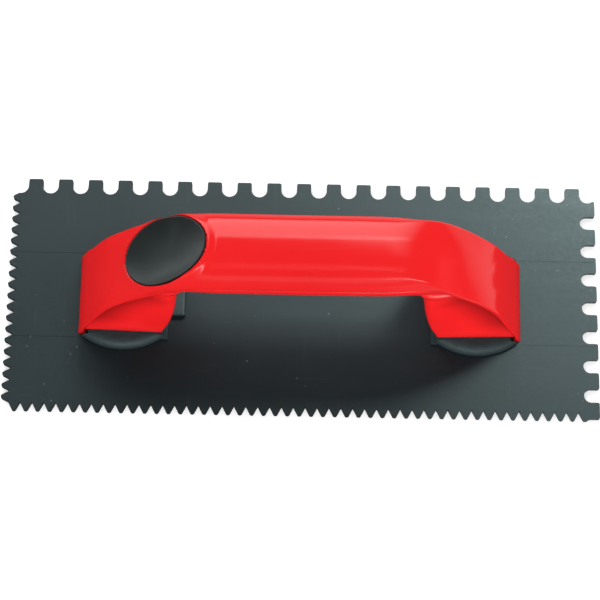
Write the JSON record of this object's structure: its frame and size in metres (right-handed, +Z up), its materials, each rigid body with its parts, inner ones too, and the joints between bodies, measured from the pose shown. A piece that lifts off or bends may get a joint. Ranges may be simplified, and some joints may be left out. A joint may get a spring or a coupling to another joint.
{
  "type": "notched trowel",
  "caption": "Flat notched trowel: dark moulded blade with fine V teeth and wide U notches, red hollow bow handle with a dished soft thumb pad.",
  "frame": {"origin": "centre of the blade's flat working face, which lies in the plane Z = 0", "axes": "+X along the 280 mm side of the blade, +Y towards the edge with the wide U notches, +Z up out of the blade towards the handle"},
  "size_m": [0.28, 0.116, 0.0764],
  "materials": {
    "blade_plastic": "satin moulded",
    "handle_plastic": "semi-gloss moulded",
    "pad_rubber": "soft satin"
  },
  "bodies": {
    "root": {"notched_blade": "blade_plastic", "handle_liner": "handle_plastic", "handle_shell": "handle_plastic", "thumb_pad": "pad_rubber"}
  },
  "joints": []
}
